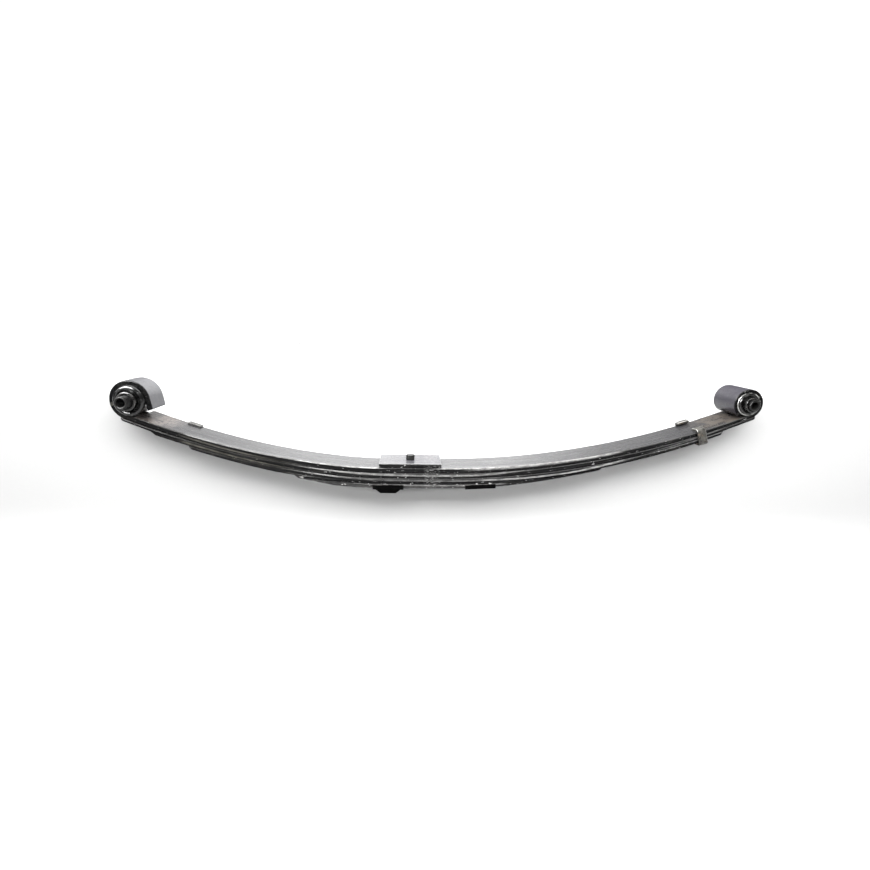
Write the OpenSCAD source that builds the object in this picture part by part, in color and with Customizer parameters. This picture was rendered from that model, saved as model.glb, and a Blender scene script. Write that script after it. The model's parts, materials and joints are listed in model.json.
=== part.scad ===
// Four-leaf semi-elliptic spring with a bushed eye at each end, lying as it is fitted:
// the eyes up, the axle seat on top. X runs along the spring towards the small rear eye,
// Y across the leaves, Z up. The origin is on the centre bolt's axis, on the seat's face.

/* [Spring] */
// Width of the leaves
spring_w = 63.5; // [50:0.5:75]
// Thickness of each leaf at the seat
leaf_t = 9; // [7:0.5:10]
// Half of the flat length in the middle of the leaves
seat_half = 45; // [35:1:52]
// Gap between two leaves along the arms
leaf_gap = 0.3; // [0.2:0.05:0.5]
// Size of the trimmed corners at the ends of the leaves
corner_trim = 7; // [3:1:12]

/* [Front arm] */
// Radius of the main leaf's top next to the seat
front_bend_r = 760; // [650:10:900]
// Angle that the bend next to the seat turns through
front_bend_angle = 5.96; // [4:0.02:8]
// Radius of the main leaf's top over the rest of the arm
front_arm_r = 1250; // [1150:10:1350]
// Slope of the arm where its eye starts
front_eye_slope = 21.7; // [20:0.1:23]
// Bore radius of the front eye
front_eye_r = 23.2; // [21:0.1:25]
// Angle through which the leaf is rolled round the front eye
front_roll = 238; // [225:1:250]
// Length of the straight end of the roll
front_roll_tail = 20; // [10:1:24]
// Width that the leaf loses on its far side where it is rolled into the front eye
front_eye_cut = 16.75; // [8:0.25:24]

/* [Rear arm] */
// Radius of the main leaf's top over the whole arm
rear_arm_r = 1444; // [1350:2:1550]
// Slope of the arm where its eye starts
rear_eye_slope = 21.5; // [20:0.1:23]
// How much shorter each leaf's lower radius is, which thins it towards the end
rear_thinning = 52; // [20:1:60]
// Bore radius of the rear eye
rear_eye_r = 19.6; // [18:0.1:21]
// Angle through which the leaf is rolled round the rear eye
rear_roll = 308; // [280:1:312]

/* [Leaf lengths] */
// Reach of the second leaf to the front
second_front = 463; // [440:1:465]
// Reach of the second leaf to the rear
second_rear = 581; // [550:1:585]
// Reach of the third leaf to the front
third_front = 358; // [330:1:358]
// Reach of the third leaf to the rear
third_rear = 534; // [520:1:545]
// Reach of the fourth leaf to the front
fourth_front = 194; // [180:1:230]
// Reach of the fourth leaf to the rear
fourth_rear = 330; // [300:1:345]

/* [Ground ends] */
// Reach of the step where the second leaf thins to a tongue at the front
second_front_step = 416; // [405:1:430]
// Thickness of the second leaf's tongue
second_front_tongue = 5.2; // [3:0.2:6]
// Length of the ground end of the third leaf at the front
third_front_grind = 140; // [120:5:160]
// Thickness of the third leaf's front tip
third_front_tip = 4.5; // [3:0.5:6]
// Length of the ground end of the fourth leaf at the front
fourth_front_grind = 70; // [50:5:90]
// Thickness of the fourth leaf's front tip
fourth_front_tip = 3.5; // [2.5:0.5:6]
// Length of the ground end of the fourth leaf at the rear
fourth_rear_grind = 190; // [150:5:210]
// Thickness of the fourth leaf's rear tip
fourth_rear_tip = 2.5; // [2:0.5:6]

/* [Seat and centre bolt] */
// Length of the seat plate
plate_l = 105; // [96:1:105]
// Thickness of the seat plate
plate_t = 7; // [5:0.5:10]
// Radius of the centre bolt's shank
bolt_r = 5; // [4:0.25:6]
// Radius of the centre bolt's head
bolt_head_r = 7.3; // [6.8:0.1:8.5]
// Height of the centre bolt's head above the seat plate
bolt_head_h = 8.5; // [5:0.5:9]
// Distance across the flats of the nut
nut_flats = 17; // [15:0.5:19]
// Height of the nut
nut_h = 7; // [5:0.5:9]

/* [Bushes] */
// Outer radius of the front sleeve
front_sleeve_r = 10; // [9:0.1:11]
// Bore radius of the front sleeve
front_bore_r = 7.1; // [6:0.1:8]
// Length of the front sleeve
front_sleeve_l = 103; // [96:1:107]
// Outer radius of the rear sleeve
rear_sleeve_r = 9; // [8:0.1:10]
// Bore radius of the rear sleeve
rear_bore_r = 6.1; // [5:0.1:7]
// Length of the rear sleeve
rear_sleeve_l = 98; // [94:1:104]
// Radial running clearance of a sleeve in its rubber
sleeve_clearance = 0.05; // [0.01:0.01:0.1]

/* [Clips and pads] */
// Distance of the rear clip from the centre bolt
rear_clip_x = 490; // [470:1:500]
// Width of the rear clip's strap
rear_clip_w = 20; // [16:1:26]
// Thickness of the rear clip's strap
rear_clip_t = 4.5; // [3:0.5:5]
// Distance of the front guide clip from the centre bolt
guide_clip_x = 372; // [372:1:385]
// Width of the front guide clip's strap
guide_clip_w = 22; // [16:1:24]
// Thickness of the front guide clip's strap
guide_clip_t = 3; // [2:0.5:4]
// Radius of the clips' rivets
rivet_r = 4; // [3:0.5:5]
// Length of the two pads under the fourth leaf
pad_l = 52; // [40:1:60]
// Distance of the front pad's middle from the centre bolt
front_pad_x = 37; // [36:1:60]
// Distance of the rear pad's middle from the centre bolt
rear_pad_x = 118; // [90:1:140]
// Drop of the stop block under the front pad
stop_drop = 8.5; // [4:0.5:12]

/* [Hidden] */

$fn = 96;
arm_fn = 1440;       // the arms' radii are over a metre
tall = 220;          // higher than both eyes
half_w = spring_w / 2;
bolt_hole_r = bolt_r + 0.25;
rivet_hole_r = rivet_r + 0.1;
rear_shell_t = 2;
eye_sink = 0.2;      // how far an eye's bore dips into the end of its arm
eye_lap = 5;         // degrees that an eye's ring runs back along its arm

// The arms' arcs: the front arm bends twice, the rear arm once.
front_bend_c = [-seat_half, front_bend_r - plate_t];
front_arm_c = front_bend_c
    + (front_arm_r - front_bend_r) * [sin(front_bend_angle), cos(front_bend_angle)];
front_bend_x = seat_half + front_bend_r * sin(front_bend_angle);

// Slope of an arm at a distance along X from the centre bolt.
function front_slope(x) = asin(sin(front_bend_angle) + (x - front_bend_x) / front_arm_r);
function rear_slope(x) = asin((x - seat_half) / rear_arm_r);

// Radius and centre height of the rear arm's arc under a number of leaves.
function rear_r(leaves) = rear_arm_r + leaves * (leaf_t - rear_thinning);
function rear_c(leaves, drop = 0) = [seat_half, rear_r(leaves) - plate_t - leaves * leaf_t - drop];

// Depth of the rear pack under a number of leaves where the slope is a.
function rear_depth(leaves, a) = leaves * (leaf_t - rear_thinning * (1 - cos(a)));

// A point of an arm where the slope is a, at a depth under the main leaf's top.
function front_point(a, depth) = front_arm_c - (front_arm_r + depth) * [sin(a), cos(a)];
function rear_point(a, depth) = rear_c(0) + (rear_arm_r + depth) * [sin(a), -cos(a)];

front_eye_c = front_point(front_eye_slope, eye_sink - front_eye_r);
rear_eye_c = rear_point(rear_eye_slope, eye_sink - rear_eye_r);
rear_eye_t = rear_depth(1, rear_eye_slope);
front_eye_half_w = (spring_w - front_eye_cut) / 2;
front_eye_mid = -front_eye_cut / 2;

// Extrudes a side view, drawn in X and Z, across the leaves.
module side_view(width) {
    rotate([90, 0, 0])
        linear_extrude(height = width, center = true)
            children();
}

// Turns about Y what is built on an arm, so that it stands square to the leaves.
module at_station(point, slope) {
    translate([point[0], 0, point[1]])
        rotate([0, -slope, 0])
            children();
}

module front_station(x, depth) {
    at_station(front_point(front_slope(x), depth), -front_slope(x)) children();
}

module rear_station(x, leaves) {
    a = rear_slope(x);
    at_station(rear_point(a, rear_depth(leaves, a)), a) children();
}

// Half-plane to the left or the right of the radius at the end of the front bend.
module beside_bend(side) {
    translate(front_bend_c)
        rotate(-front_bend_angle)
            translate([side < 0 ? -2 * front_arm_r : 0, -2 * front_arm_r])
                square([2 * front_arm_r, 4 * front_arm_r]);
}

// Everything above the underside of a number of leaves, lowered by drop along the arms.
module above(leaves, drop = 0) {
    level = -plate_t - leaves * leaf_t;
    depth = leaves * leaf_t + drop;
    translate([-seat_half, level])
        square([2 * seat_half, tall - level]);
    intersection() {
        translate(front_bend_c)
            circle(r = front_bend_r + depth, $fn = arm_fn);
        beside_bend(1);
        translate([-front_arm_r - seat_half, -tall])
            square([front_arm_r, 2 * tall]);
    }
    intersection() {
        translate(front_arm_c)
            circle(r = front_arm_r + depth, $fn = arm_fn);
        beside_bend(-1);
        translate([-front_arm_r, -tall])
            square([front_arm_r, 2 * tall]);
    }
    intersection() {
        translate(rear_c(leaves, drop))
            circle(r = rear_r(leaves), $fn = arm_fn);
        translate([seat_half, -tall])
            square([rear_arm_r, 2 * tall]);
    }
}

// The part of the side view between two slopes, cut square to the arms.
module between_slopes(front_a, rear_a) {
    below = 60;
    polygon([
        front_point(front_a, -tall), front_point(front_a, below), [0, -tall],
        rear_point(rear_a, below), rear_point(rear_a, -tall)
    ]);
}

// Side view of one leaf, counted from the top, cut square at two slopes.
module leaf_side(number, front_a, rear_a) {
    intersection() {
        difference() {
            above(number);
            above(number - 1, number > 1 ? leaf_gap : 0);
        }
        between_slopes(front_a, rear_a);
    }
}

// What grinding a front end takes from under a leaf: it thins evenly down to tip_t.
module front_grind(number, reach, length, tip_t) {
    steps = 8;
    past = 3;
    tip = front_slope(reach);
    start = front_slope(reach - length);
    below = (number + 1) * leaf_t;
    polygon(concat(
        [
            for (i = [0 : steps])
                front_point(
                    start + (tip - start) * i / steps,
                    number * leaf_t - (leaf_t - tip_t) * i / steps
                )
        ],
        [
            front_point(tip + past, (number - 1) * leaf_t + tip_t),
            front_point(tip + past, below),
            front_point(start, below)
        ]
    ));
}

// The same for a rear end.
module rear_grind(number, reach, length, tip_t) {
    steps = 8;
    tip = rear_slope(reach);
    start = rear_slope(reach - length);
    below = (number + 1) * leaf_t;
    polygon(concat(
        [
            for (i = [0 : steps])
                let (a = start + (tip - start) * i / steps)
                    rear_point(a, rear_depth(number, a) - (rear_depth(1, a) - tip_t) * i / steps)
        ],
        [
            rear_point(tip + 1, rear_depth(number - 1, tip) + tip_t),
            rear_point(tip + 1, below),
            rear_point(start, below)
        ]
    ));
}

// Plan view of a leaf with trimmed corners, as a block.
module trimmed_plan(front, rear) {
    c = corner_trim;
    translate([0, 0, -tall])
        linear_extrude(height = 2 * tall)
            polygon([
                [-front, c - half_w], [c - front, -half_w], [rear - c, -half_w], [rear, c - half_w],
                [rear, half_w - c], [rear - c, half_w], [c - front, half_w], [-front, half_w - c]
            ]);
}

// Upright hole for the centre bolt.
module bolt_hole() {
    translate([0, 0, -tall])
        cylinder(r = bolt_hole_r, h = 2 * tall);
}

// Hole for a clip's rivet, through the strap and the lowest leaf that it is riveted to.
module rivet_hole() {
    cylinder(r = rivet_hole_r, h = 4 * leaf_t, center = true);
}

// Disc of an eye with an open sector between two directions.
module open_disc(r, open_from, open_to) {
    steps = 4;
    difference() {
        circle(r = r);
        polygon(concat([[0, 0]], [
            for (i = [0 : steps])
                let (a = open_from + (open_to - open_from) * i / steps)
                    3 * r * [cos(a), sin(a)]
        ]));
    }
}

// Side view of the front eye, its bore still closed: rolled up from the arm's end to a
// straight tail.
module front_roll_side() {
    foot = 270 - front_eye_slope;
    tail = foot - front_roll;
    tail_sink = 0.2;
    tail_lap = 2.5;
    open_disc(front_eye_r + leaf_t, foot + eye_lap, tail + 360);
    rotate(tail)
        translate([front_eye_r - tail_sink, -front_roll_tail])
            square([leaf_t, front_roll_tail + tail_lap]);
}

// Side view of the rear eye, its bore still closed: rolled until it almost meets the arm.
module rear_roll_side() {
    foot = 270 + rear_eye_slope;
    open_disc(rear_eye_r + rear_eye_t, foot + rear_roll - 360, foot - eye_lap);
}

// What the front roll loses on its far side: all beyond its foot, and all above the arm.
module front_eye_notch() {
    foot_x = 6;
    arm_z = -20;
    reach = 80;
    translate([0, spring_w - front_eye_cut, 0])
        side_view(spring_w)
            translate(front_eye_c)
                polygon([
                    [-reach, -reach], [foot_x, -reach], [foot_x, arm_z],
                    [reach, arm_z], [reach, reach], [-reach, reach]
                ]);
}

module main_leaf() {
    color("dimgray")
        difference() {
            side_view(spring_w)
                difference() {
                    union() {
                        leaf_side(1, front_eye_slope, rear_eye_slope);
                        translate(front_eye_c) front_roll_side();
                        translate(rear_eye_c) rear_roll_side();
                    }
                    translate(front_eye_c) circle(r = front_eye_r);
                    translate(rear_eye_c) circle(r = rear_eye_r);
                }
            front_eye_notch();
            bolt_hole();
        }
}

module second_leaf() {
    color("dimgray")
        difference() {
            intersection() {
                side_view(spring_w)
                    difference() {
                        leaf_side(2, front_slope(second_front), rear_slope(second_rear));
                        front_grind(2, second_front_step, leaf_t, second_front_tongue);
                    }
                trimmed_plan(second_front + corner_trim, second_rear + corner_trim);
            }
            bolt_hole();
            front_station(guide_clip_x, 2 * leaf_t)
                rivet_hole();
        }
}

module third_leaf() {
    color("dimgray")
        difference() {
            intersection() {
                side_view(spring_w)
                    difference() {
                        leaf_side(3, front_slope(third_front), rear_slope(third_rear));
                        front_grind(3, third_front, third_front_grind, third_front_tip);
                    }
                trimmed_plan(third_front + corner_trim, third_rear);
            }
            bolt_hole();
            rear_station(rear_clip_x, 3)
                rivet_hole();
        }
}

module fourth_leaf() {
    color("dimgray")
        difference() {
            intersection() {
                side_view(spring_w)
                    difference() {
                        leaf_side(4, front_slope(fourth_front), rear_slope(fourth_rear));
                        front_grind(4, fourth_front, fourth_front_grind, fourth_front_tip);
                        rear_grind(4, fourth_rear, fourth_rear_grind, fourth_rear_tip);
                    }
                trimmed_plan(fourth_front, fourth_rear);
            }
            bolt_hole();
        }
}

module seat_plate() {
    color("gray")
        difference() {
            translate([-plate_l / 2, -half_w, -plate_t])
                cube([plate_l, spring_w, plate_t]);
            bolt_hole();
        }
}

module centre_bolt() {
    grip = plate_t + 4 * leaf_t + nut_h + 0.5;
    color("black") {
        translate([0, 0, -grip])
            cylinder(r = bolt_r, h = grip);
        cylinder(r = bolt_head_r, h = bolt_head_h);
    }
}

module centre_nut() {
    color("black")
        translate([0, 0, -plate_t - 4 * leaf_t - nut_h])
            difference() {
                cylinder(r = nut_flats / sqrt(3), h = nut_h, $fn = 6);
                translate([0, 0, -1])
                    cylinder(r = bolt_r, h = nut_h + 2);
            }
}

// Turns a half section, drawn as radius and distance across, about an eye's axis.
module turned(eye_c, mid, side) {
    translate([eye_c[0], mid, eye_c[1]])
        rotate([side * -90, 0, 0])
            rotate_extrude()
                children();
}

// Half section of one half of the front bush: body, flange with a rounded rim, and nose.
module front_bush_section() {
    inner = front_sleeve_r + sleeve_clearance;
    flange_r = front_eye_r + 2;
    rim_r = 3.2;
    nose_r = 15.5;
    nose_end = front_eye_half_w + 13;
    difference() {
        union() {
            translate([inner, 0.5])
                square([front_eye_r - inner, front_eye_half_w - 0.5]);
            translate([inner, front_eye_half_w])
                square([flange_r - rim_r - inner, 2 * rim_r]);
            intersection() {
                translate([flange_r - rim_r, front_eye_half_w + rim_r])
                    circle(r = rim_r);
                translate([inner, front_eye_half_w])
                    square([flange_r, 2 * rim_r]);
            }
            translate([inner, front_eye_half_w])
                square([nose_r - 2 - inner, nose_end - front_eye_half_w]);
            translate([inner, front_eye_half_w])
                square([nose_r - inner, nose_end - front_eye_half_w - 2]);
            translate([nose_r - 2, nose_end - 2])
                circle(r = 2);
        }
        // Groove that parts the nose from the rim.
        translate([nose_r + 2, front_eye_half_w + 2 * rim_r + 0.6])
            circle(r = 2.6);
    }
}

module front_bush_near() {
    color("black")
        turned(front_eye_c, front_eye_mid, -1)
            front_bush_section();
}

module front_bush_far() {
    color("black")
        turned(front_eye_c, front_eye_mid, 1)
            front_bush_section();
}

// Plain tube on an eye's axis, centred at mid.
module tube(eye_c, mid, outer_r, inner_r, length) {
    translate([eye_c[0], mid, eye_c[1]])
        rotate([90, 0, 0])
            difference() {
                cylinder(r = outer_r, h = length, center = true);
                cylinder(r = inner_r, h = length + 2, center = true);
            }
}

module front_sleeve() {
    color("silver")
        tube(front_eye_c, front_eye_mid, front_sleeve_r, front_bore_r, front_sleeve_l);
}

module rear_shell() {
    color("gray")
        tube(rear_eye_c, 0, rear_eye_r, rear_eye_r - rear_shell_t, spring_w);
}

// Half section of the rear rubber from the middle to one end: body, shoulder and nose.
module rear_rubber_section() {
    inner = rear_sleeve_r + sleeve_clearance;
    outer = rear_eye_r - rear_shell_t;
    shoulder_r = 3;
    nose_r = 12.5;
    nose_end = half_w + 12;
    translate([inner, 0])
        square([outer - inner, half_w]);
    translate([inner, half_w])
        square([outer - shoulder_r - inner, shoulder_r]);
    intersection() {
        translate([outer - shoulder_r, half_w])
            circle(r = shoulder_r);
        translate([inner, half_w])
            square([outer, shoulder_r]);
    }
    translate([inner, half_w])
        square([nose_r - inner, nose_end - half_w - 1.5]);
    translate([inner, half_w])
        square([nose_r - 1.5 - inner, nose_end - half_w]);
    translate([nose_r - 1.5, nose_end - 1.5])
        circle(r = 1.5);
}

module rear_rubber() {
    color("black")
        turned(rear_eye_c, 0, 1) {
            rear_rubber_section();
            mirror([0, 1])
                rear_rubber_section();
        }
}

module rear_sleeve() {
    color("silver")
        tube(rear_eye_c, 0, rear_sleeve_r, rear_bore_r, rear_sleeve_l);
}

// Section of a strap that bends round the pack: Y across, Z up from the pack's underside.
// The ears reach in over the pack's top from the sides that are in use.
module strap_section(pack_t, strap_t, ear, ear_gap, near_side) {
    side_gap = 0.5;
    inner = half_w + side_gap;
    outer = inner + strap_t;
    bend_r = strap_t + 1.5;
    top = pack_t + ear_gap + strap_t;
    difference() {
        rounded_box(-outer, -strap_t - 0.2, outer, top, bend_r);
        rounded_box(-inner, -0.2, inner, top - strap_t, bend_r - strap_t);
        translate([(near_side ? -1 : -2) * half_w + ear, pack_t])
            square([(near_side ? 2 : 3) * half_w - 2 * ear, 3 * leaf_t]);
        if (!near_side)
            translate([-2 * half_w, -2 * strap_t])
                square([1.3 * half_w, 2 * pack_t + 4 * strap_t]);
    }
}

// Rectangle between two corners with rounded corners.
module rounded_box(x0, y0, x1, y1, r) {
    translate([x0 + r, y0])
        square([x1 - x0 - 2 * r, y1 - y0]);
    translate([x0, y0 + r])
        square([x1 - x0, y1 - y0 - 2 * r]);
    for (x = [x0 + r, x1 - r], y = [y0 + r, y1 - r])
        translate([x, y])
            circle(r = r);
}

// Extrudes a section, drawn in Y and Z, along X.
module along_x(length) {
    rotate([90, 0, 90])
        linear_extrude(height = length, center = true)
            children();
}

module rear_clip() {
    color("darkgray")
        rear_station(rear_clip_x, 3)
            difference() {
                along_x(rear_clip_w)
                    strap_section(rear_depth(3, rear_slope(rear_clip_x)), rear_clip_t, 9, 2, true);
                rivet_hole();
            }
}

module guide_clip() {
    color("darkgray")
        front_station(guide_clip_x, 2 * leaf_t)
            difference() {
                along_x(guide_clip_w)
                    strap_section(2 * leaf_t, guide_clip_t, 10, 0.3, false);
                rivet_hole();
            }
}

// Rivet with a domed head under a strap; its shank ends inside the leaf.
module rivet(strap_t, grip) {
    head_r = 1.8 * rivet_r;
    translate([0, 0, -strap_t - 0.2])
        cylinder(r = rivet_r, h = strap_t + 0.2 + grip);
    translate([0, 0, -strap_t - 0.2])
        rotate_extrude()
            intersection() {
                translate([0, 0.6 * head_r])
                    circle(r = 1.166 * head_r);
                translate([0, -head_r])
                    square([2 * head_r, head_r]);
            }
}

module rear_clip_rivet() {
    color("darkgray")
        rear_station(rear_clip_x, 3)
            rivet(rear_clip_t, 6);
}

module guide_clip_rivet() {
    color("darkgray")
        front_station(guide_clip_x, 2 * leaf_t)
            rivet(guide_clip_t, leaf_t - 1);
}

// Saddle that hugs the fourth leaf's underside: Y across, Z up from the underside.
module pad_section(floor_t) {
    lip_t = 1.5;
    lip_h = 6.5;
    side_gap = 0.1;
    outer = half_w + side_gap + lip_t;
    difference() {
        translate([-outer, -floor_t])
            square([2 * outer, floor_t + lip_h]);
        translate([-half_w - side_gap, 0])
            square([2 * (half_w + side_gap), 2 * lip_h]);
    }
}

module front_pad() {
    floor_t = 1.5;
    top_l = 0.84 * pad_l;
    bottom_l = 0.5 * pad_l;
    color("black")
        translate([-front_pad_x, 0, -plate_t - 4 * leaf_t]) {
            along_x(pad_l)
                pad_section(floor_t);
            side_view(spring_w)
                polygon([
                    [-top_l / 2, -floor_t], [-bottom_l / 2, -stop_drop],
                    [bottom_l / 2, -stop_drop], [top_l / 2, -floor_t]
                ]);
        }
}

module rear_pad() {
    color("black")
        rear_station(rear_pad_x, 4)
            along_x(pad_l)
                pad_section(1);
}

main_leaf();
second_leaf();
third_leaf();
fourth_leaf();
seat_plate();
centre_bolt();
centre_nut();
front_bush_near();
front_bush_far();
front_sleeve();
rear_shell();
rear_rubber();
rear_sleeve();
rear_clip();
rear_clip_rivet();
guide_clip();
guide_clip_rivet();
front_pad();
rear_pad();
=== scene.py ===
import bpy
import bmesh
import json
import math
import numpy as np
from mathutils import Matrix, Vector


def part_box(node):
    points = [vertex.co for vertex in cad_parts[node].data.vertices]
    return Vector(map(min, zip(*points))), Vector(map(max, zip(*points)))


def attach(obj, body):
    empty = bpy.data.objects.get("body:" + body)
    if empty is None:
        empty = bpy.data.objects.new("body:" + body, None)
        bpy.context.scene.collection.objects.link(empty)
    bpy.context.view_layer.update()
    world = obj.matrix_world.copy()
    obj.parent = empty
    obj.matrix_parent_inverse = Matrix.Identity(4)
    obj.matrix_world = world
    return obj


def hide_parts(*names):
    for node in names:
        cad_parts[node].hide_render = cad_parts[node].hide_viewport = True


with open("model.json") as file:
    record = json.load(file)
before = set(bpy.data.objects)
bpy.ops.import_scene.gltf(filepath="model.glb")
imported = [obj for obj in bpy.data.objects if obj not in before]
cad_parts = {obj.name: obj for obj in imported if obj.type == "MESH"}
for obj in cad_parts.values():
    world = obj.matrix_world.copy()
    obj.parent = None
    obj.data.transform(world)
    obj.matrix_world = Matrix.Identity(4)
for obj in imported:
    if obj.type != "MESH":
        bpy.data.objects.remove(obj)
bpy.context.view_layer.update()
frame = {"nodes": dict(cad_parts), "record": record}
nodes = frame["nodes"]
mounts = {m["name"]: Vector(m["pos_m"]) for m in frame["record"]["mounts"]}
front_eye = mounts["front_bore"]
rear_eye = mounts["rear_bore"]
leaf_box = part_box("main_leaf")
half_w = leaf_box[1].y
leaf_t = 0.009     # thickness of a leaf at the seat
pack = "spring_pack"
scene = bpy.context.scene


# ---------------------------------------------------------------- camera

def add_camera():
    """The photo's view, from a perspective fit: low, in front of the spring's near side."""
    yaw, pitch, roll = math.radians(2.828), math.radians(12.976), math.radians(1.428)
    place = Vector((-0.0012, -0.8706, 0.2445))
    ahead = Vector((math.sin(yaw) * math.cos(pitch), math.cos(yaw) * math.cos(pitch), -math.sin(pitch)))
    side = Vector((math.cos(yaw), -math.sin(yaw), 0.0))
    up = side.cross(ahead)
    right = math.cos(roll) * side + math.sin(roll) * up
    top = -math.sin(roll) * side + math.cos(roll) * up
    data = bpy.data.cameras.new("camera")
    data.sensor_width = 36.0
    data.lens = 21.517
    data.clip_start = 0.05
    data.clip_end = 50.0
    cam = bpy.data.objects.new("camera", data)
    scene.collection.objects.link(cam)
    turn = Matrix((right, top, -ahead)).transposed()
    cam.matrix_world = Matrix.Translation(place) @ turn.to_4x4()
    scene.camera = cam


add_camera()


# ---------------------------------------------------------------- measuring the CAD

def points_of(node):
    me = nodes[node].data
    co = np.zeros(len(me.vertices) * 3, np.float32)
    me.vertices.foreach_get("co", co)
    return co.reshape(-1, 3).astype(float)


def lower_hull(points):
    """The lower side of the outline in X and Z, as a polyline from left to right."""
    chain = []
    for p in sorted(set((round(x, 6), round(z, 6)) for x, z in points)):
        while len(chain) > 1 and np.cross(np.subtract(chain[-1], chain[-2]), np.subtract(p, chain[-1])) <= 0:
            chain.pop()
        chain.append(p)
    return np.array(chain)


def radii(node, centre):
    """Smallest and largest distance of a node's points from an eye's axis, in mm."""
    p = points_of(node)
    r = np.hypot(p[:, 0] - centre.x, p[:, 2] - centre.z) * 1000.0
    return float(r.min()), float(r.max())


main_under = lower_hull(points_of("main_leaf")[:, [0, 2]])
whole_under = lower_hull(np.concatenate([points_of(n)[:, [0, 2]] for n in nodes]))


def flow(points):
    """Arc length along the main leaf's underside from the centre bolt, and the height over it."""
    run_on = 9.0     # how many lengths the first and the last stretch run on outwards
    a, b = main_under[:-1], main_under[1:]
    d = b - a
    length = np.hypot(d[:, 0], d[:, 1])
    start = np.concatenate([[0.0], np.cumsum(length)])
    start -= np.interp(0.0, main_under[:, 0], start)
    nearest = np.full(len(points), np.inf)
    s = np.zeros(len(points))
    h = np.zeros(len(points))
    for i in range(len(a)):
        rel = points - a[i]
        t = (rel @ d[i]) / length[i] ** 2
        t = np.clip(t, -run_on if i == 0 else 0.0, run_on if i == len(a) - 1 else 1.0)
        off = rel - t[:, None] * d[i]
        dist = np.hypot(off[:, 0], off[:, 1])
        near = dist < nearest
        nearest[near] = dist[near]
        s[near] = start[i] + t[near] * length[i]
        side = (off[:, 1] * d[i, 0] - off[:, 0] * d[i, 1]) / length[i]
        h[near] = side[near]
    return s, h


# ---------------------------------------------------------------- mesh helpers

def link(node, me, body, material):
    """Links the piece that takes the place of a CAD node."""
    ob = bpy.data.objects.new(node + "_piece", me)
    scene.collection.objects.link(ob)
    me.materials.append(material)
    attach(ob, body)
    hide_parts(node)
    return ob


def smooth(ob, sharp=40.0):
    """Smooth shading with hard edges kept where the faces meet at more than that angle."""
    ob.data.shade_smooth()
    ob.data.set_sharp_from_angle(angle=math.radians(sharp))
    mod = ob.modifiers.new("normals", "WEIGHTED_NORMAL")
    mod.keep_sharp = True
    mod.weight = 60


def add_flow(me):
    """Stores the arc length, the place across and the height of each vertex."""
    co = np.zeros(len(me.vertices) * 3, np.float32)
    me.vertices.foreach_get("co", co)
    co = co.reshape(-1, 3).astype(float)
    s, h = flow(co[:, [0, 2]])
    layer = me.attributes.new("flow", "FLOAT_VECTOR", "POINT")
    layer.data.foreach_set("vector", np.stack([s, co[:, 1], h], 1).astype(np.float32).ravel())


def roll_radii():
    """Radius of the front roll's ring, and of the circle that its tail's outer face touches."""
    tail_sink = 0.0002
    p = points_of("main_leaf")
    r = np.hypot(p[:, 0] - front_eye.x, p[:, 2] - front_eye.z)
    left = p[:, 0] < front_eye.x
    ring = float(np.max(r[left & (p[:, 2] > front_eye.z)]))
    return ring, ring - tail_sink


def join_roll_and_tail(bm):
    """Takes out the small step where the front roll's ring runs into its straight tail: from
    60 degrees down to 13, the ring is eased inwards onto the tail's circle."""
    start, stop = 60.0, 13.0
    ring, tail_line = roll_radii()
    for v in bm.verts:
        rel = v.co - front_eye
        r = math.hypot(rel.x, rel.z)
        angle = math.degrees(math.atan2(rel.z, rel.x))
        if tail_line + 5e-5 < r < ring + 1e-4 and 0.0 < angle < start:
            t = min(max((start - angle) / (start - stop), 0.0), 1.0)
            k = 1.0 - (ring - tail_line) / ring * t * t * (3.0 - 2.0 * t)
            v.co.x = front_eye.x + rel.x * k
            v.co.z = front_eye.z + rel.z * k


def cut_across(bm, first, last, step):
    """Cuts the mesh across at even places along X, so that it follows the leaf's curve."""
    for x in np.arange(first, last, step):
        geom = bm.verts[:] + bm.edges[:] + bm.faces[:]
        bmesh.ops.bisect_plane(bm, geom=geom, dist=1e-6, plane_co=(x, 0, 0), plane_no=(1, 0, 0))


def rounded_copy(node, offset, material, segments=4, sharp=30.0, cuts=None, shape=None, low=0.35):
    """A copy of a CAD node with rounded edges, with the vertex layer for wear and painted highlights at 1
    along the upper ones, at -1 along those underneath and at low along the others. The layer marks edge wear,
    and on the leaves also the upper edges that get a painted highlight."""
    bm = bmesh.new()
    bm.from_mesh(nodes[node].data)
    wear_and_sheen = bm.verts.layers.float.new("wear_and_sheen")
    if node == "main_leaf":
        join_roll_and_tail(bm)
    bmesh.ops.remove_doubles(bm, verts=bm.verts, dist=3e-5)
    bmesh.ops.dissolve_limit(bm, angle_limit=math.radians(0.15), verts=bm.verts, edges=bm.edges)
    if cuts:
        cut_across(bm, *cuts)
    edges = [e for e in bm.edges if e.is_manifold and e.calc_face_angle(0.0) > math.radians(sharp)]
    made = bmesh.ops.bevel(
        bm, geom=edges, offset=offset, offset_type="OFFSET", segments=segments, profile=0.5,
        affect="EDGES", clamp_overlap=False, loop_slide=True, miter_outer="SHARP", miter_inner="SHARP"
    )
    if shape:
        shape(bm)
    bmesh.ops.recalc_face_normals(bm, faces=bm.faces)
    bm.normal_update()
    fresh = set(made["faces"])
    for v in bm.verts:
        rounded = v.link_faces and all(f in fresh for f in v.link_faces)
        # Upper edges get 1: wear, and on the leaves a painted highlight; edges underneath get -1.
        share = 1.0 if v.normal.z > 0.15 else -1.0 if v.normal.z < -0.15 else low
        v[wear_and_sheen] = share if rounded else 0.0
    me = bpy.data.meshes.new(node + "_piece")
    bm.to_mesh(me)
    bm.free()
    add_flow(me)
    ob = link(node, me, pack, material)
    smooth(ob)
    return ob


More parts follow.
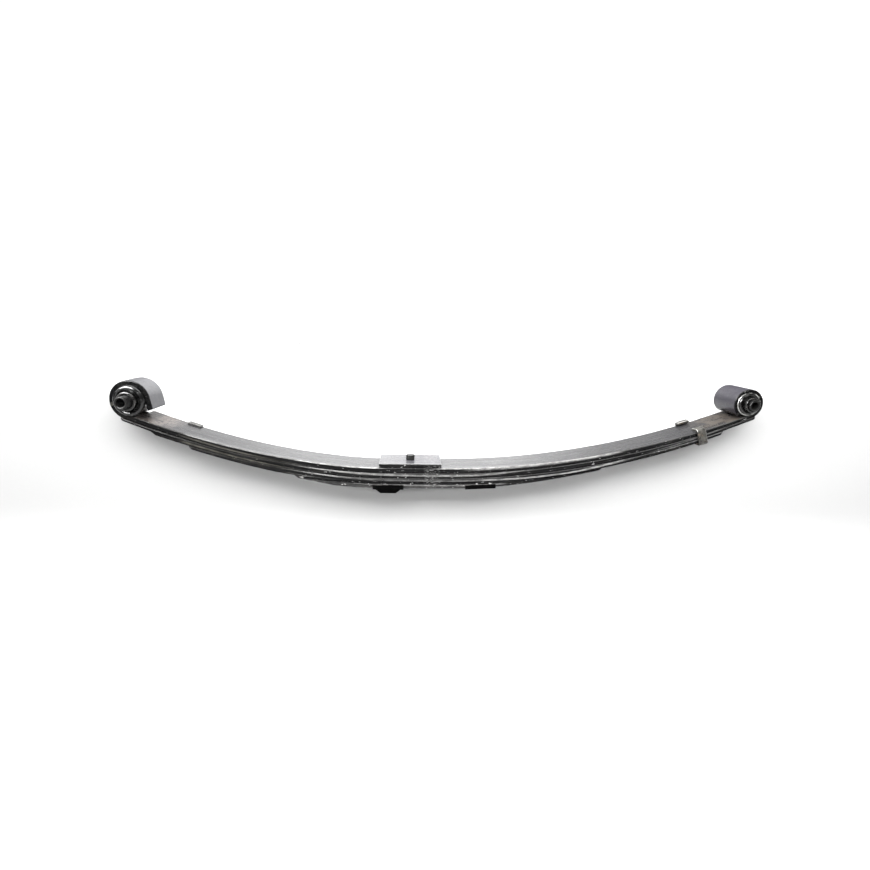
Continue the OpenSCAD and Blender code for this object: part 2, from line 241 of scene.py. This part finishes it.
def lathe(node, body, centre, axis, profile, material, turns=96, teeth=0, closed=True):
    """Turns a profile of (radius, distance along the axis, wear), in mm, about an axis. The
    points with wear over 1 form as many small notches as there are teeth."""
    notch_depth = 0.00045
    axis = Vector(axis).normalized()
    u = Vector((1, 0, 0))
    w = axis.cross(u)
    verts, wear_and_sheen = [], []
    for i in range(turns):
        a = 2.0 * math.pi * i / turns
        out = math.cos(a) * u + math.sin(a) * w
        notch = notch_depth if teeth and (i * teeth * 2 // turns) % 2 else 0.0
        for r, d, k in profile:
            along = d / 1000.0 - math.copysign(notch, d) * (k > 1.0)
            verts.append(centre + out * (r / 1000.0) + axis * along)
            wear_and_sheen.append(min(k, 1.0))
    n = len(profile)
    faces = []
    for i in range(turns):
        j = (i + 1) % turns
        for k in range(n if closed else n - 1):
            m = (k + 1) % n
            faces.append((i * n + k, i * n + m, j * n + m, j * n + k))
    me = bpy.data.meshes.new(node + "_piece")
    me.from_pydata(verts, [], faces)
    layer = me.attributes.new("wear_and_sheen", "FLOAT", "POINT")
    layer.data.foreach_set("value", wear_and_sheen)
    bm = bmesh.new()
    bm.from_mesh(me)
    bmesh.ops.remove_doubles(bm, verts=bm.verts, dist=1e-6)
    bmesh.ops.recalc_face_normals(bm, faces=bm.faces)
    bm.to_mesh(me)
    bm.free()
    ob = link(node, me, body, material)
    smooth(ob, 35.0)
    return ob


def arc(cx, cy, r, start, stop, steps=6, wear_and_sheen=0.0):
    """Points of a profile on a circle, between two angles in degrees."""
    angles = [math.radians(start + (stop - start) * i / steps) for i in range(steps + 1)]
    return [(cx + r * math.cos(a), cy + r * math.sin(a), wear_and_sheen) for a in angles]


# ---------------------------------------------------------------- materials

class Graph:
    """Builds a material's nodes in few lines."""

    def __init__(self, name):
        self.material = bpy.data.materials.new(name)
        self.material.use_nodes = True
        self.tree = self.material.node_tree
        self.tree.nodes.clear()
        self.out = self.tree.nodes.new("ShaderNodeOutputMaterial")
        self.shader = self.tree.nodes.new("ShaderNodeBsdfPrincipled")
        self.tree.links.new(self.shader.outputs[0], self.out.inputs[0])

    def put(self, socket, value):
        if isinstance(value, bpy.types.NodeSocket):
            self.tree.links.new(value, socket)
        else:
            socket.default_value = value

    def set(self, **values):
        """Sets or links the shader's inputs, whose names have _ for each space."""
        for k, v in values.items():
            self.put(self.shader.inputs[k.replace("_", " ")], v)

    def place(self, name=None, scale=(1, 1, 1), shift=(0, 0, 0)):
        """Object coordinates, or a stored vector, scaled and shifted."""
        if name:
            n = self.tree.nodes.new("ShaderNodeAttribute")
            n.attribute_name = name
            source = n.outputs["Vector"]
        else:
            source = self.tree.nodes.new("ShaderNodeTexCoord").outputs["Object"]
        m = self.tree.nodes.new("ShaderNodeMapping")
        self.put(m.inputs["Vector"], source)
        m.inputs["Scale"].default_value = scale
        m.inputs["Location"].default_value = shift
        return m.outputs[0]

    def value(self, name):
        n = self.tree.nodes.new("ShaderNodeAttribute")
        n.attribute_name = name
        return n.outputs["Fac"]

    def part(self, vector, axis):
        n = self.tree.nodes.new("ShaderNodeSeparateXYZ")
        self.put(n.inputs[0], vector)
        return n.outputs[axis]

    def noise(self, vector, scale=1.0, detail=4.0, rough=0.55):
        n = self.tree.nodes.new("ShaderNodeTexNoise")
        self.put(n.inputs["Vector"], vector)
        n.inputs["Scale"].default_value = scale
        n.inputs["Detail"].default_value = detail
        n.inputs["Roughness"].default_value = rough
        return n.outputs["Fac"]

    def span(self, value, lo, hi, out_lo=0.0, out_hi=1.0):
        """Eases from out_lo where the value is lo to out_hi where it is hi."""
        n = self.tree.nodes.new("ShaderNodeMapRange")
        n.interpolation_type = "SMOOTHSTEP"
        self.put(n.inputs["Value"], value)
        for k, v in (("From Min", lo), ("From Max", hi), ("To Min", out_lo), ("To Max", out_hi)):
            self.put(n.inputs[k], v)
        return n.outputs["Result"]

    def window(self, value, start, stop, soft):
        """1 between start and stop, fading over soft at both ends."""
        return self.both(self.span(value, start - soft, start), self.span(value, stop, stop + soft, 1.0, 0.0))

    def math(self, kind, a, b=0.0):
        n = self.tree.nodes.new("ShaderNodeMath")
        n.operation = kind
        self.put(n.inputs[0], a)
        self.put(n.inputs[1], b)
        return n.outputs[0]

    def both(self, *values):
        out = values[0]
        for v in values[1:]:
            out = self.math("MULTIPLY", out, v)
        return out

    def most(self, *values):
        out = values[0]
        for v in values[1:]:
            out = self.math("MAXIMUM", out, v)
        return out

    def mix(self, fac, a, b):
        n = self.tree.nodes.new("ShaderNodeMix")
        n.data_type = "RGBA"
        self.put(n.inputs[0], fac)
        self.put(n.inputs[6], (*a, 1.0) if isinstance(a, tuple) else a)
        self.put(n.inputs[7], (*b, 1.0) if isinstance(b, tuple) else b)
        return n.outputs[2]

    def blend(self, fac, a, b):
        n = self.tree.nodes.new("ShaderNodeMix")
        self.put(n.inputs[0], fac)
        self.put(n.inputs[2], a)
        self.put(n.inputs[3], b)
        return n.outputs[0]

    def bump(self, height, strength, distance, after=None):
        n = self.tree.nodes.new("ShaderNodeBump")
        n.inputs["Strength"].default_value = strength
        n.inputs["Distance"].default_value = distance
        self.put(n.inputs["Height"], height)
        if after is not None:
            self.put(n.inputs["Normal"], after)
        return n.outputs[0]


# Colours on the leaves: each has a dark and a light tone, and the dust has one.
side_black = (0.0003, 0.0003, 0.0003), (0.0035, 0.0035, 0.004)
side_dust = (0.009, 0.0085, 0.008)
top_black = (0.013, 0.013, 0.014), (0.024, 0.0235, 0.025)
front_barrel_grey = (0.074, 0.074, 0.078), (0.088, 0.088, 0.093)
rear_barrel_grey = (0.026, 0.0245, 0.031), (0.036, 0.034, 0.042)
# The bare steel tones colour real chips and rubbed spots, and also the painted highlights.
bare_steel_and_highlight = (0.225, 0.223, 0.22), (0.40, 0.397, 0.39)
olive_steel_and_highlight = (0.070, 0.067, 0.056), (0.125, 0.12, 0.105)
rear_rust = (0.038, 0.031, 0.025), (0.082, 0.071, 0.060)
front_rust = (0.045, 0.037, 0.033), (0.125, 0.108, 0.098)

# Painted highlights: pale lines along the sides, placed where the leaves' rounded flanks would catch the
# light. Each holds how far it lies below the first one, its extra depth on the rear arm (from, to, first
# value, last value), the depth at the centre bolt of the sloping limit that lifts it where the rear arm
# thins, and its stretches along the arms (from, to, brightness).
side_highlight_lines = [
    (0.0, (0.10, 0.20, 0.0, -0.0035), 0.060, ((-0.36, -0.20, 0.6), (-0.19, 0.15, 0.8), (0.15, 0.19, 0.4))),
    (0.009, (0.12, 0.22, 0.0, 0.0012), 0.0373,
     ((-0.36, -0.13, 0.8), (-0.12, 0.10, 0.35), (0.13, 0.21, 0.75), (0.22, 0.35, 0.9), (0.38, 0.53, 0.25))),
    (0.0172, (0.12, 0.22, 0.0, 0.0), 0.060, ((-0.19, 0.14, 0.55),)),
    (0.0214, (0.12, 0.22, 0.0, 0.0), 0.060, ((-0.15, 0.13, 0.16),)),
]


class LeafPaint:
    """Worn black paint over spring steel, with painted highlights. s is the distance along the leaves from
    the centre bolt, across the place in Y, high the height over the main leaf's underside, and depth the
    depth under its top. edges = (from, to, share) are the stretches where the upper edge is
    painted bright, partly as worn steel and partly as a painted highlight, and tint is how rusty the ends are
    next to the eyes."""

    def __init__(self, name, seed, edges=(), tint=0.0):
        g = self.g = Graph(name)
        self.seed = seed
        place = g.place("flow")
        self.s, self.across, self.high = (g.part(place, axis) for axis in "XYZ")
        self.depth = g.math("SUBTRACT", leaf_t, self.high)
        self.level = g.both(
            g.span(self.across, -half_w + 0.0003, -half_w + 0.0022),
            g.span(self.across, half_w - 0.0003, half_w - 0.0022)
        )
        self.side = g.math("SUBTRACT", 1.0, self.level)
        self.barrel = g.both(self.level, g.span(self.high, 0.0125, 0.018))
        self.fine = self.noise((1, 1, 1), 900.0, 3.0)
        self.patches = self.noise((1, 1, 1), 24.0, 5.0, 0.6)
        self.streaks = self.noise((16, 190, 520), 1.0, 4.0, 0.62)
        self.broken = g.span(self.noise((70, 300, 300), 1.0, 4.0, 0.65), 0.40, 0.56, 0.5, 1.0)
        edge = self.worn_and_highlit_edges(edges)
        # Real chips, scuffs and rubbed edges together with the painted highlights along the edges, the sides
        # and the top's near edge.
        bare_and_highlit = g.most(edge, *self.painted_side_highlights(), *self.specks(), *self.highlit_near_edge_and_scuffs())
        rust = self.rust(tint)
        colour = g.mix(bare_and_highlit, self.paint_colour(), self.steel_colour(edge))
        g.set(Base_Color=g.mix(rust, colour, self.rust_colour()), Metallic=g.both(bare_and_highlit, 0.25))
        self.gloss(bare_and_highlit, rust)
        self.relief()

    def noise(self, stretch, scale=1.0, detail=4.0, rough=0.55):
        place = self.g.place("flow", scale=stretch, shift=(self.seed, self.seed * 0.3, 0.0))
        return self.g.noise(place, scale, detail, rough)

    def worn_and_highlit_edges(self, edges):
        """Bright upper edges, weaker on the eyes: partly worn bare steel, partly a painted highlight."""
        g = self.g
        wear_and_sheen = g.span(g.value("wear_and_sheen"), 0.0, 1.0)
        edge = g.both(wear_and_sheen, 0.10)
        for start, stop, share in edges:
            edge = g.most(edge, g.both(wear_and_sheen, g.window(self.s, start, stop, 0.03), self.broken, share))
        return g.both(edge, g.span(self.high, 0.0125, 0.0105, 0.35, 1.0))

    def painted_side_highlights(self):
        """Painted highlights as lines along the sides, and a paler upper part of the rear arm's sides."""
        g = self.g
        first = g.math("MINIMUM", g.math("ADD", g.math("MULTIPLY", self.s, 0.022), 0.0128), 0.0130)
        lines = []
        for below, extra, lift, stretches in side_highlight_lines:
            centre = g.math("ADD", g.math("ADD", first, below), g.span(self.s, *extra))
            centre = g.math("MINIMUM", centre, g.math("ADD", g.math("MULTIPLY", self.s, -0.0525), lift))
            line = g.span(g.math("ABSOLUTE", g.math("SUBTRACT", self.depth, centre)), 0.0024, 0.0004)
            for start, stop, share in stretches:
                lines.append(g.both(line, g.window(self.s, start, stop, 0.03), share))
        lines = g.both(g.most(*lines), self.side, self.broken, g.span(g.value("wear_and_sheen"), -0.9, -0.3))
        band = g.both(self.side, g.window(self.s, 0.13, 0.33, 0.05), g.span(self.depth, 0.0055, 0.002))
        return g.both(lines, 0.8), g.both(band, self.broken, 0.75)

    def specks(self):
        """Knocks low on the pack's middle, chips in patches, and speckles under the seat plate's
        rear half."""
        g = self.g
        knocks = g.both(g.span(self.noise((95, 95, 160), 1.0, 2.0, 0.5), 0.64, 0.68), self.side)
        knocks = g.both(knocks, g.span(self.depth, 0.0245, 0.0265), g.window(self.s, -0.17, 0.13, 0.02))
        chips = g.span(self.noise((150, 260, 300), 1.0, 3.0, 0.6), 0.635, 0.67)
        chips = g.both(chips, g.span(self.patches, 0.42, 0.58), g.math("MAXIMUM", self.side, 0.15))
        speckles = g.span(self.noise((210, 500, 620), 1.0, 4.0, 0.75), 0.50, 0.64)
        speckles = g.both(g.window(self.s, 0.028, 0.046, 0.008), speckles, 0.42)
        return knocks, g.both(chips, 0.85), speckles

    def highlit_near_edge_and_scuffs(self):
        """A painted highlight along the top's near edge, and fine scuffs everywhere."""
        g = self.g
        near = g.both(g.span(self.across, -half_w + 0.012, -half_w + 0.001), self.level)
        near = g.both(near, g.window(self.s, -0.33, 0.16, 0.08), 0.16)
        scuffs = g.span(self.noise((45, 700, 1500), 1.0, 2.0, 0.5), 0.58, 0.72)
        scuffs = g.both(scuffs, g.span(self.noise((22, 60, 90), 1.0, 3.0, 0.6), 0.50, 0.64))
        return near, g.both(scuffs, 0.20)

    def paint_colour(self):
        """Near black on the sides, a little paler on the top, grey on the two eyes' barrels."""
        g = self.g
        light = g.span(self.streaks, 0.36, 0.68)
        side = g.mix(g.span(self.patches, 0.5, 0.75), g.mix(light, *side_black), side_dust)
        paint = g.mix(self.level, side, g.mix(light, *top_black))
        front, rear = g.mix(light, *front_barrel_grey), g.mix(light, *rear_barrel_grey)
        return g.mix(self.barrel, paint, g.mix(g.span(self.s, -0.1, 0.1), front, rear))

    def steel_colour(self, edge):
        """Bare steel, also the colour of the painted highlights, with an olive cast on the front arm's sides
        away from the edges.
        """
        g = self.g
        steel = g.mix(g.span(self.fine, 0.35, 0.65), *bare_steel_and_highlight)
        olive = g.mix(g.span(self.streaks, 0.4, 0.6), *olive_steel_and_highlight)
        return g.mix(g.both(self.side, g.span(self.s, -0.15, -0.22), g.span(edge, 0.2, 0.1)), steel, olive)

    def rust(self, tint):
        """Rust on the main leaf's top next to the eyes."""
        g = self.g
        by_eyes = g.most(g.span(self.s, -0.385, -0.425), g.span(self.s, 0.49, 0.54))
        by_eyes = g.both(by_eyes, g.span(self.high, 0.0125, 0.0105), self.level)
        return g.both(by_eyes, g.span(self.noise((1, 1, 1), 55.0, 6.0, 0.7), 0.38, 0.60), tint)

    def rust_colour(self):
        g = self.g
        rear = g.mix(g.span(self.fine, 0.3, 0.7), *rear_rust)
        front = g.mix(g.span(self.patches, 0.4, 0.6), *front_rust)
        return g.mix(g.span(self.s, -0.1, -0.2), rear, front)

    def gloss(self, bare_and_highlit, rust):
        """Semi-gloss paint, with no shine on the edges underneath and little on the sides."""
        g = self.g
        under = g.span(g.value("wear_and_sheen"), 0.0, -1.0)
        rough = g.blend(bare_and_highlit, g.span(self.streaks, 0.3, 0.7, 0.20, 0.34), 0.42)
        shine = g.both(g.span(under, 0.0, 0.6, 1.0, 0.0), g.span(self.level, 0.0, 1.0, 0.22, 0.5))
        g.set(Roughness=g.most(rough, g.both(rust, 0.5), g.both(self.barrel, 0.34)))
        g.set(Specular_IOR_Level=shine, IOR=1.31, Coat_Weight=0.05, Coat_Roughness=0.14)

    def relief(self):
        g = self.g
        rough = g.bump(self.fine, 0.25, 0.0002)
        rough = g.bump(self.noise((30, 120, 260), 1.0, 4.0, 0.6), 0.30, 0.0008, rough)
        g.set(Normal=g.bump(self.patches, 0.3, 0.0012, rough))


def paint_material(name, seed, edges=(), tint=0.0):
    return LeafPaint(name, seed, edges, tint).g.material


def rubber_material(name, rough=0.16, coat=1.0, dark=1.0, shine=0.3):
    """Black rubber with dust on it, and rubbed pale where it is worn."""
    g = Graph(name)
    p = g.place()
    grain = g.noise(p, 1500.0, 2.0)
    dust = g.noise(p, 110.0, 5.0, 0.6)
    wear_and_sheen = g.span(g.value("wear_and_sheen"), 0.0, 1.0)
    clean = (0.002 * dark, 0.002 * dark, 0.002 * dark)
    dusty = (0.011 * dark, 0.0108 * dark, 0.0105 * dark)
    colour = g.mix(g.span(dust, 0.5, 0.8), clean, dusty)
    colour = g.mix(g.both(wear_and_sheen, g.span(dust, 0.42, 0.6)), colour, (0.11, 0.105, 0.10))
    g.set(Base_Color=colour)
    g.set(Roughness=g.span(dust, 0.35, 0.7, rough, rough + 0.25))
    g.set(Normal=g.bump(g.noise(p, 160.0, 3.0), 0.35, 0.0012, g.bump(grain, 0.3, 0.0002)))
    g.set(Coat_Weight=coat, Coat_Roughness=0.08, Specular_IOR_Level=shine)
    return g.material


def steel_material(name, dark=0.25, rust=0.2, tint=(1.0, 1.0, 1.0), metal=0.85, edge=0.5, shine=0.5):
    """Steel in a tone, with brown spots by rust, and edges worn to another tone."""
    g = Graph(name)
    p = g.place()
    grain = g.noise(p, 1200.0, 2.0)
    spots = g.noise(p, 140.0, 5.0, 0.6)
    low = tuple(dark * 0.6 * t for t in tint)
    high = tuple(min(dark * 1.6 * t, 0.9) for t in tint)
    base = g.mix(g.span(spots, 0.38, 0.66), low, high)
    brown = g.span(g.noise(p, 80.0, 6.0, 0.65), 0.64 - rust * 0.3, 0.76 - rust * 0.2)
    base = g.mix(g.both(brown, min(rust * 1.6, 1.0)), base, (0.17, 0.11, 0.065))
    worn = g.both(g.span(g.value("wear_and_sheen"), 0.0, 1.0), g.span(spots, 0.34, 0.56))
    g.set(Base_Color=g.mix(worn, base, (edge, edge, edge * 0.96)))
    g.set(Metallic=g.most(g.span(brown, 0.0, 1.0, metal, metal * 0.3), g.both(worn, 0.9)))
    g.set(Roughness=g.span(spots, 0.3, 0.7, 0.24, 0.46))
    g.set(Normal=g.bump(spots, 0.3, 0.0010, g.bump(grain, 0.3, 0.0002)), Specular_IOR_Level=shine)
    return g.material


# Stretches of the main leaf's upper edge that are painted bright: worn steel and a painted highlight.
main_leaf_edges = ((-0.36, -0.20, 0.4), (-0.18, -0.06, 0.9), (0.06, 0.16, 0.9), (0.16, 0.34, 0.6))
leaf_paint = {
    "main_leaf": paint_material("leaf_paint_1", 0.37, main_leaf_edges, 0.85),
    "second_leaf": paint_material("leaf_paint_2", 0.74, ((-0.15, -0.08, 0.5),), 0.5),
    "third_leaf": paint_material("leaf_paint_3", 1.11, ((0.42, 0.53, 0.25),), 0.2),
    "fourth_leaf": paint_material("leaf_paint_4", 1.48, ((-0.16, -0.06, 0.4),), 0.0),
}
plate_paint = paint_material("plate_paint", 2.2, ((-0.1, 0.1, 0.8),))
rubber = rubber_material("bush_rubber", 0.12, 0.35)
pad_rubber = rubber_material("pad_rubber", 0.6, 0.0, 0.25, 0.02)
sleeve_steel = steel_material("sleeve_steel", 0.008, 0.02, metal=0.1, edge=0.022, shine=0.3)
shell_steel = steel_material("shell_steel", 0.10, 0.1, edge=0.6)
clip_steel = steel_material("clip_steel", 0.055, 0.4, (1.0, 0.96, 0.86), 0.4, 0.6)
guide_steel = steel_material("guide_steel", 0.045, 0.2, (1.0, 0.98, 0.94), 0.2, 0.10)
bolt_steel = steel_material("bolt_steel", 0.008, 0.03, metal=0.1, edge=0.05, shine=0.25)


# ---------------------------------------------------------------- pieces

def make_leaves():
    """The leaves, cut across along the arms between the eyes, and the seat plate."""
    arms = (leaf_box[0].x + 0.075, leaf_box[1].x - 0.055, 0.006)
    for node, paint in leaf_paint.items():
        rounded_copy(node, 0.0018, paint, cuts=arms)
    rounded_copy("seat_plate", 0.0012, plate_paint)


def narrow_leg(node, share):
    """Draws in the near side of a clip to a share of its width, along the leaves."""
    reach = 0.012     # how far in from the near side the leg gets back to its full width
    lo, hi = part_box(node)
    middle = (lo + hi) / 2
    rise = np.interp(middle.x + 0.01, *main_under.T) - np.interp(middle.x - 0.01, *main_under.T)
    along = Vector((0.02, 0.0, rise)).normalized()

    def shape(bm):
        for v in bm.verts:
            t = min(max((-half_w + reach - v.co.y) / reach, 0.0), 1.0)
            t = t * t * (3.0 - 2.0 * t)
            v.co -= along * ((v.co - middle) @ along) * (1.0 - share) * t
    return shape


def make_clips_pads_and_nut():
    narrowed = narrow_leg("rear_clip", 0.70)
    rounded_copy("rear_clip", 0.0009, clip_steel, 3, 35.0, shape=narrowed, low=0.8)
    rounded_copy("guide_clip", 0.0007, guide_steel, 3, 35.0, low=0.8)
    for node in ("front_pad", "rear_pad"):
        rounded_copy(node, 0.0004, pad_rubber, 3, 35.0, low=0.5)
    rounded_copy("centre_nut", 0.0006, bolt_steel, 3, 35.0, low=1.0)


def make_centre_bolt():
    """Domed and chamfered head, shank, and thread below the nut's top."""
    lo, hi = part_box("centre_bolt")
    head_r, head_h, tip = hi.x * 1000.0, hi.z * 1000.0, lo.z * 1000.0
    shank_r, root_r, tip_r, pitch = 5.0, 4.55, 4.4, 0.8
    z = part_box("centre_nut")[1].z * 1000.0
    profile = [(0.0, head_h, 0.0), (head_r - 2.2, head_h - 0.05, 0.2)]
    profile += arc(head_r - 1.2, head_h - 1.25, 1.2, 80.0, 0.0, 5, 0.9)
    profile += [(head_r, 0.4, 0.3), (head_r - 0.3, 0.0, 0.0), (shank_r, 0.0, 0.0), (shank_r, z, 0.0)]
    while z > tip + 1.3:
        profile += [(root_r, z - pitch / 2, 0.0), (shank_r, z - pitch, 0.6)]
        z -= pitch
    profile += [(tip_r, tip, 0.4), (0.0, tip, 0.0)]
    ob = lathe("centre_bolt", pack, Vector((0, 0, 0)), (0, 0, 1), profile, bolt_steel, 64, closed=False)


def make_front_bush():
    """The front bush's two halves: body, flange with a rolled rim, groove, and nose."""
    nose_l, overlap = 13.0, 2.0     # the nose past the eye's face, the flange past its bore
    rim_r, rim_h = 4.6, 6.2
    for side, node in ((-1, "front_bush_near"), (1, "front_bush_far")):
        lo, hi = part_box(node)
        bore, flange = radii(node, front_eye)
        length = (hi.y - lo.y) * 1000.0
        face = length - nose_l
        eye_r = flange - overlap
        crown = flange - rim_r
        centre = Vector((front_eye.x, lo.y if side > 0 else hi.y, front_eye.z))
        profile = [(bore, 0.0, 0.0), (eye_r - 0.4, 0.0, 0.0), (eye_r, 0.4, 0.0), (eye_r, face, 0.0)]
        for degrees in (0, 10, 20, 30, 40, 50, 60, 70, 80, 90, 102, 114, 126):
            a = math.radians(degrees)
            profile.append((crown + rim_r * math.cos(a), face + 0.1 + rim_h * math.sin(a), 0.0))
        profile += [(16.9, face + 3.4, 0.0), (16.2, face + 3.0, 0.0), (15.5, face + 3.6, 0.0)]
        profile += [(15.4, face + 9.6, 0.0)] + arc(13.6, face + 11.2, 1.8, 0.0, 90.0, 6, 0.3)
        profile += [(bore + 1.2, length, 0.0), (bore, length - 0.9, 0.0)]
        lathe(node, pack, centre, (0, side, 0), profile, rubber, 120)


def make_rear_shell():
    bore, outer = radii("rear_shell", rear_eye)
    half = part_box("rear_shell")[1].y * 1000.0
    profile = [(bore, -half + 0.7, 0.0)] + arc(bore + 0.8, -half + 0.8, 0.8, 180.0, 270.0, 4, 0.8)
    profile += [(outer - 0.4, -half, 0.8), (outer, -half + 0.4, 0.3)]
    profile += [(outer, half - 0.4, 0.3), (outer - 0.4, half, 0.8)]
    profile += arc(bore + 0.8, half - 0.8, 0.8, 90.0, 180.0, 4, 0.8)
    lathe("rear_shell", pack, rear_eye, (0, 1, 0), profile, shell_steel, 120)


def make_rear_rubber():
    """Body between the shell's ends, shoulder, groove and nose, the same towards both sides."""
    bore, outer = radii("rear_rubber", rear_eye)
    shell_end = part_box("rear_shell")[1].y * 1000.0
    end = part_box("rear_rubber")[1].y * 1000.0
    side = [(outer, shell_end * 0.97, 0.0), (outer, shell_end - 0.1, 0.0)]
    side += arc(outer - 3.0, shell_end, 3.0, 4.0, 76.0, 7, 0.15)
    side += [(outer - 3.8, shell_end + 2.6, 0.0), (12.9, shell_end + 1.6, 0.0), (12.4, shell_end + 2.6, 0.0)]
    side += [(12.3, end - 1.8, 0.0)] + arc(11.0, end - 1.5, 1.5, 0.0, 90.0, 5, 0.3)
    side += [(bore + 0.6, end, 0.0), (bore, end - 0.6, 0.0)]
    profile = side + [(r, -d, k) for r, d, k in side[::-1]]
    lathe("rear_rubber", pack, rear_eye, (0, 1, 0), profile, rubber, 120)


def make_sleeve(node, body, eye):
    """A tube with chamfers and notched ends."""
    bore, outer = radii(node, eye)
    lo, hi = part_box(node)
    half_l = (hi.y - lo.y) * 500.0
    centre = Vector((eye.x, (lo.y + hi.y) / 2, eye.z))
    end = [(outer, half_l - 1.0, 0.2), (outer - 0.8, half_l, 1.5)]
    end += [(bore + 0.9, half_l, 1.5), (bore, half_l - 0.9, 0.6)]
    profile = end + [(r, -d, k) for r, d, k in end[::-1]]
    lathe(node, body, centre, (0, 1, 0), profile, sleeve_steel, 144, 24)


def paint_rivets():
    """The two rivets keep their CAD meshes."""
    for node, steel in (("rear_clip_rivet", clip_steel), ("guide_clip_rivet", guide_steel)):
        nodes[node].data.materials.clear()
        nodes[node].data.materials.append(steel)


make_leaves()
make_clips_pads_and_nut()
make_centre_bolt()
make_front_bush()
make_rear_shell()
make_rear_rubber()
make_sleeve("front_sleeve", "front_sleeve_body", front_eye)
make_sleeve("rear_sleeve", "rear_sleeve_body", rear_eye)
paint_rivets()


# ---------------------------------------------------------------- floor, light

paper_back = 0.032     # where the paper's level part starts, behind the spring's middle
paper_bend = 0.015     # radius of its front edge
paper_drop = 0.20      # depth of its hanging part
paper_foot = 0.10      # radius of the bend from the hanging part to the front
paper_gap = 0.0006     # how far the paper stays under the spring
paper_left, paper_right = -1.3, 1.4


def paper_level(xs):
    """Height of the paper along X: a little under the spring, level beyond its ends."""
    reach, width = 60, 14.0     # of the smoothing, in mm
    fine = np.linspace(paper_left, paper_right, 2701)
    z = np.interp(fine, whole_under[:, 0], whole_under[:, 1])
    kernel = np.exp(-0.5 * (np.arange(-reach, reach + 1) / width) ** 2)
    kernel /= kernel.sum()
    soft = np.convolve(np.pad(z, reach, "edge"), kernel, "valid")
    inside = (fine > whole_under[0, 0] + 0.03) & (fine < whole_under[-1, 0] - 0.03)
    soft -= max(0.0, float(np.max((soft - z)[inside]))) + paper_gap
    return np.interp(xs, fine, np.minimum(soft, z - paper_gap))


def paper_section(top):
    """The sheet's section in Y and Z: level behind, bent over its front edge, hanging down,
    and run out towards the front."""
    front = paper_back - paper_bend
    line = [(y, top) for y in (1.6, 1.0, 0.6, 0.35, 0.2, 0.1, 0.05)]
    for a in np.linspace(0, math.pi / 2, 9):
        line.append((paper_back - paper_bend * math.sin(a), top - paper_bend * (1 - math.cos(a))))
    line += [(front, z) for z in np.linspace(top - paper_bend, paper_foot - paper_drop, 10)[1:]]
    for a in np.linspace(0, math.pi / 2, 9)[1:]:
        line.append((front - paper_foot * (1 - math.cos(a)), -paper_drop + paper_foot * (1 - math.sin(a))))
    line += [(y, -paper_drop) for y in (-0.2, -0.4, -0.8, -1.4, -2.4)]
    return line


def add_paper():
    """One sheet of pale paper, whose top follows the spring's underside."""
    left, middle, right = (np.linspace(*ends) for ends in (
        (paper_left, -0.6, 15), (-0.6, 0.7, 261), (0.7, paper_right, 15)))
    xs = np.concatenate([left[:-1], middle, right[1:]])
    sections = [paper_section(top) for top in paper_level(xs)]
    verts = [(x, y, z) for x, section in zip(xs, sections) for y, z in section]
    n = len(sections[0])
    faces = [(i * n + j, i * n + j + 1, (i + 1) * n + j + 1, (i + 1) * n + j)
             for i in range(len(xs) - 1) for j in range(n - 1)]
    me = bpy.data.meshes.new("paper")
    me.from_pydata(verts, [], faces)
    me.shade_smooth()
    ob = bpy.data.objects.new("paper", me)
    scene.collection.objects.link(ob)
    g = Graph("paper")
    tooth = g.noise(g.place(), 240.0, 3.0)
    g.set(Base_Color=g.mix(tooth, (0.410, 0.410, 0.410), (0.425, 0.425, 0.425)))
    g.set(Roughness=1.0, Specular_IOR_Level=0.0)
    me.materials.append(g.material)


def add_world():
    """White to the camera, and a dimmer white as light."""
    world = bpy.data.worlds.new("studio")
    scene.world = world
    world.use_nodes = True
    tree = world.node_tree
    path = tree.nodes.new("ShaderNodeLightPath")
    power = tree.nodes.new("ShaderNodeMapRange")
    tree.links.new(path.outputs["Is Camera Ray"], power.inputs["Value"])
    power.inputs["To Min"].default_value = 0.26
    power.inputs["To Max"].default_value = 1.05
    tree.nodes["Background"].inputs["Color"].default_value = (1, 1, 1, 1)
    tree.links.new(power.outputs[0], tree.nodes["Background"].inputs["Strength"])
    scene.view_settings.view_transform = "Standard"


def softbox(name, place, target, width, height, radiance, kind):
    """A lit panel that is turned to a target and gives only diffuse or only glossy light."""
    watts = 4.0     # per square metre and unit of radiance
    d = bpy.data.lights.new(name, "AREA")
    d.shape = "RECTANGLE"
    d.size, d.size_y = width, height
    d.energy = radiance * watts * width * height
    ob = bpy.data.objects.new(name, d)
    scene.collection.objects.link(ob)
    ob.location = place
    ob.rotation_euler = (Vector(place) - Vector(target)).to_track_quat("Z", "Y").to_euler()
    ob.visible_camera = False
    ob.visible_glossy = kind == "glossy"
    ob.visible_diffuse = kind == "diffuse"


def add_lights():
    """The key in front throws the soft shadow under the spring, and the table light lights the
    level paper. The rest are reflections: panels at the back, a strip above, sparkle in front."""
    softbox("key", (0.05, -0.86, 1.02), (0.05, 0.0, 0.0), 2.4, 0.72, 11.6, "diffuse")
    softbox("table_light", (0.0, 1.0, 1.5), (0.0, 1.0, 0.0), 3.2, 1.8, 6.6, "diffuse")
    panels = ((-1.35, 1.40, 0.82), (-1.05, 0.95, 0.76), (-0.65, 0.66, 0.76))
    for i, (left, right, radiance) in enumerate(panels):
        mid = (left + right) / 2
        place = (mid, 2.6 + 0.02 * i, 0.9)
        softbox("back_panel_%d" % i, place, (mid, 0.0, 0.9), right - left, 1.3, radiance, "glossy")
    softbox("top_strip", (0.05, 0.15, 1.3), (0.05, 0.0, 0.0), 1.6, 0.5, 6.0, "glossy")
    softbox("sparkle", (-0.95, -0.75, 0.85), (-0.2, 0.0, 0.05), 0.9, 0.7, 55.0, "glossy")


add_paper()
add_world()
add_lights()
